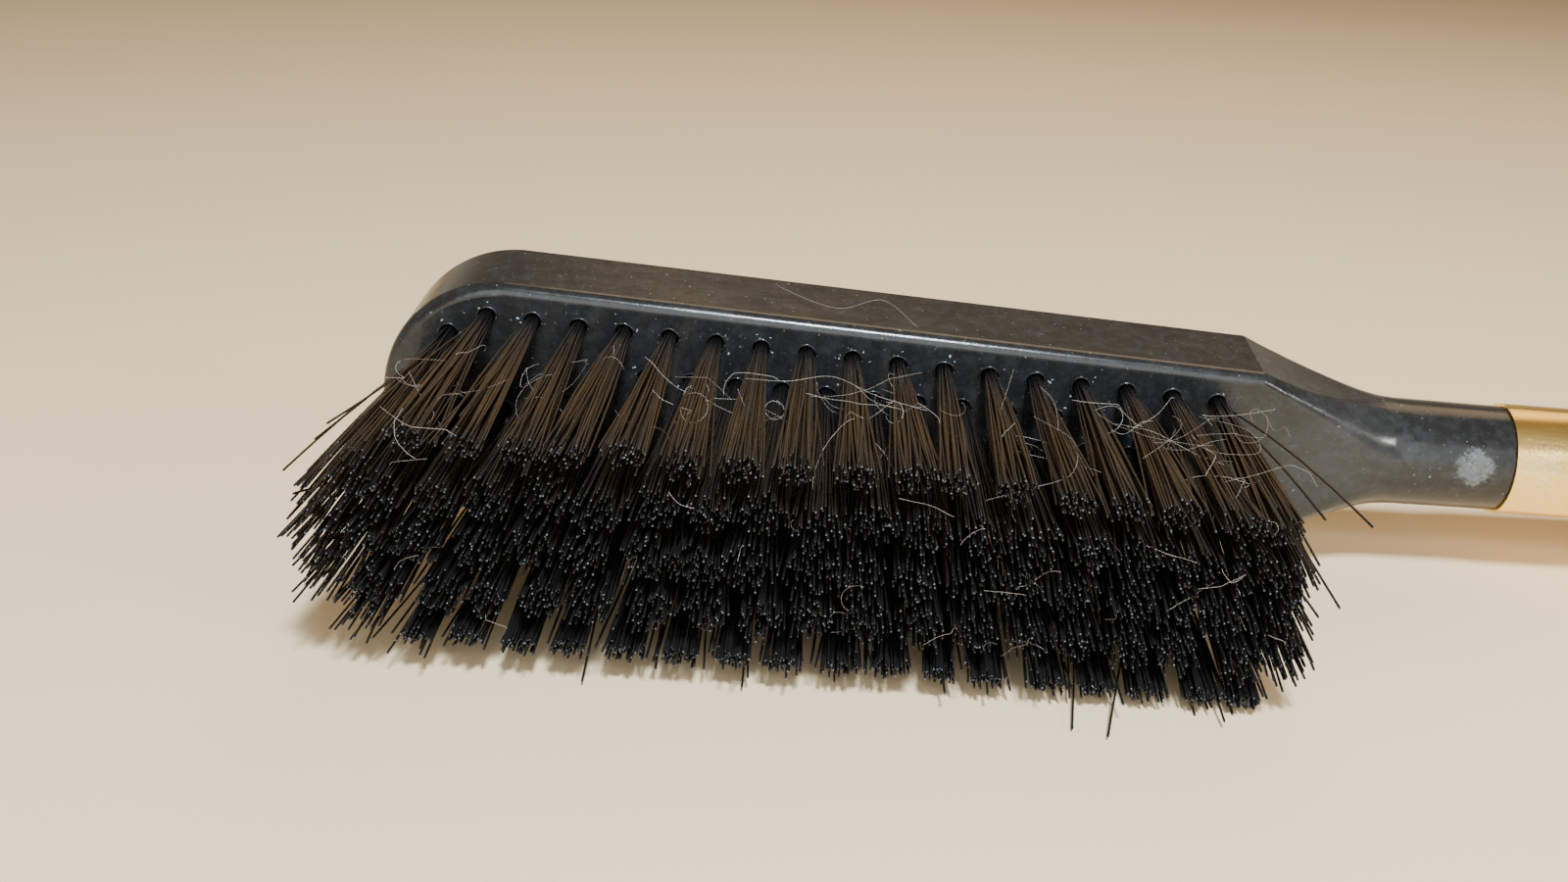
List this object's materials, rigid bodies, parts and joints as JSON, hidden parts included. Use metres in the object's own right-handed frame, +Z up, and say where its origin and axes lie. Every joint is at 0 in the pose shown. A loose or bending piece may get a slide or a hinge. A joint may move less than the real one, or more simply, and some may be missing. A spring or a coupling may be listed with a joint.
{
  "type": "hand brush",
  "caption": "Long-handled hand brush: rows of stiff bristle tufts in a tapering moulded block, a round metal tube handle, and a loose ring to hang it by.",
  "frame": {"origin": "on the floor under the middle of the brush as it lies on its side", "axes": "+Z up, +X along the handle from the brush's toe to the hanging ring, and the bristles point to -Y"},
  "size_m": [0.5044, 0.0792, 0.0521],
  "materials": {
    "head_plastic": "semi-gloss black moulded plastic, fine scratches and dust",
    "bristle": "black-brown synthetic filament, slightly shiny",
    "anchor_wire": "flat galvanised wire",
    "tube_gold": "gold-coloured polished tube with fine handling scratches",
    "insert_brass": "turned brass",
    "rod_steel": "zinc-plated steel rod",
    "cap_plastic": "semi-gloss black moulded plastic",
    "fitting_brass": "gold-coloured satin metal",
    "ring_brass": "gold-coloured polished wire"
  },
  "bodies": {
    "brush": {"brush_head": "head_plastic", "tuft_row_1": "bristle", "tuft_row_1_anchors": "anchor_wire", "tuft_row_2": "bristle", "tuft_row_2_anchors": "anchor_wire", "tuft_row_3": "bristle", "tuft_row_3_anchors": "anchor_wire", "tuft_row_4": "bristle", "tuft_row_4_anchors": "anchor_wire", "tuft_row_5": "bristle", "tuft_row_5_anchors": "anchor_wire", "toe_tufts": "bristle", "toe_tufts_anchors": "anchor_wire", "handle_tube": "tube_gold", "threaded_insert": "insert_brass", "tie_rod": "rod_steel", "end_cap": "cap_plastic", "cap_washer": "fitting_brass", "hanging_eye": "fitting_brass"},
    "ring": {"hanging_ring": "ring_brass"}
  },
  "joints": [
    {"name": "ring_swing", "type": "hinge", "parent": "brush", "child": "ring", "pos_m": [0.21979, 0.02187, 0.01394], "axis": [-0.0028, -0.9958, -0.0911], "range_deg": [-136.8, 163.2]}
  ]
}
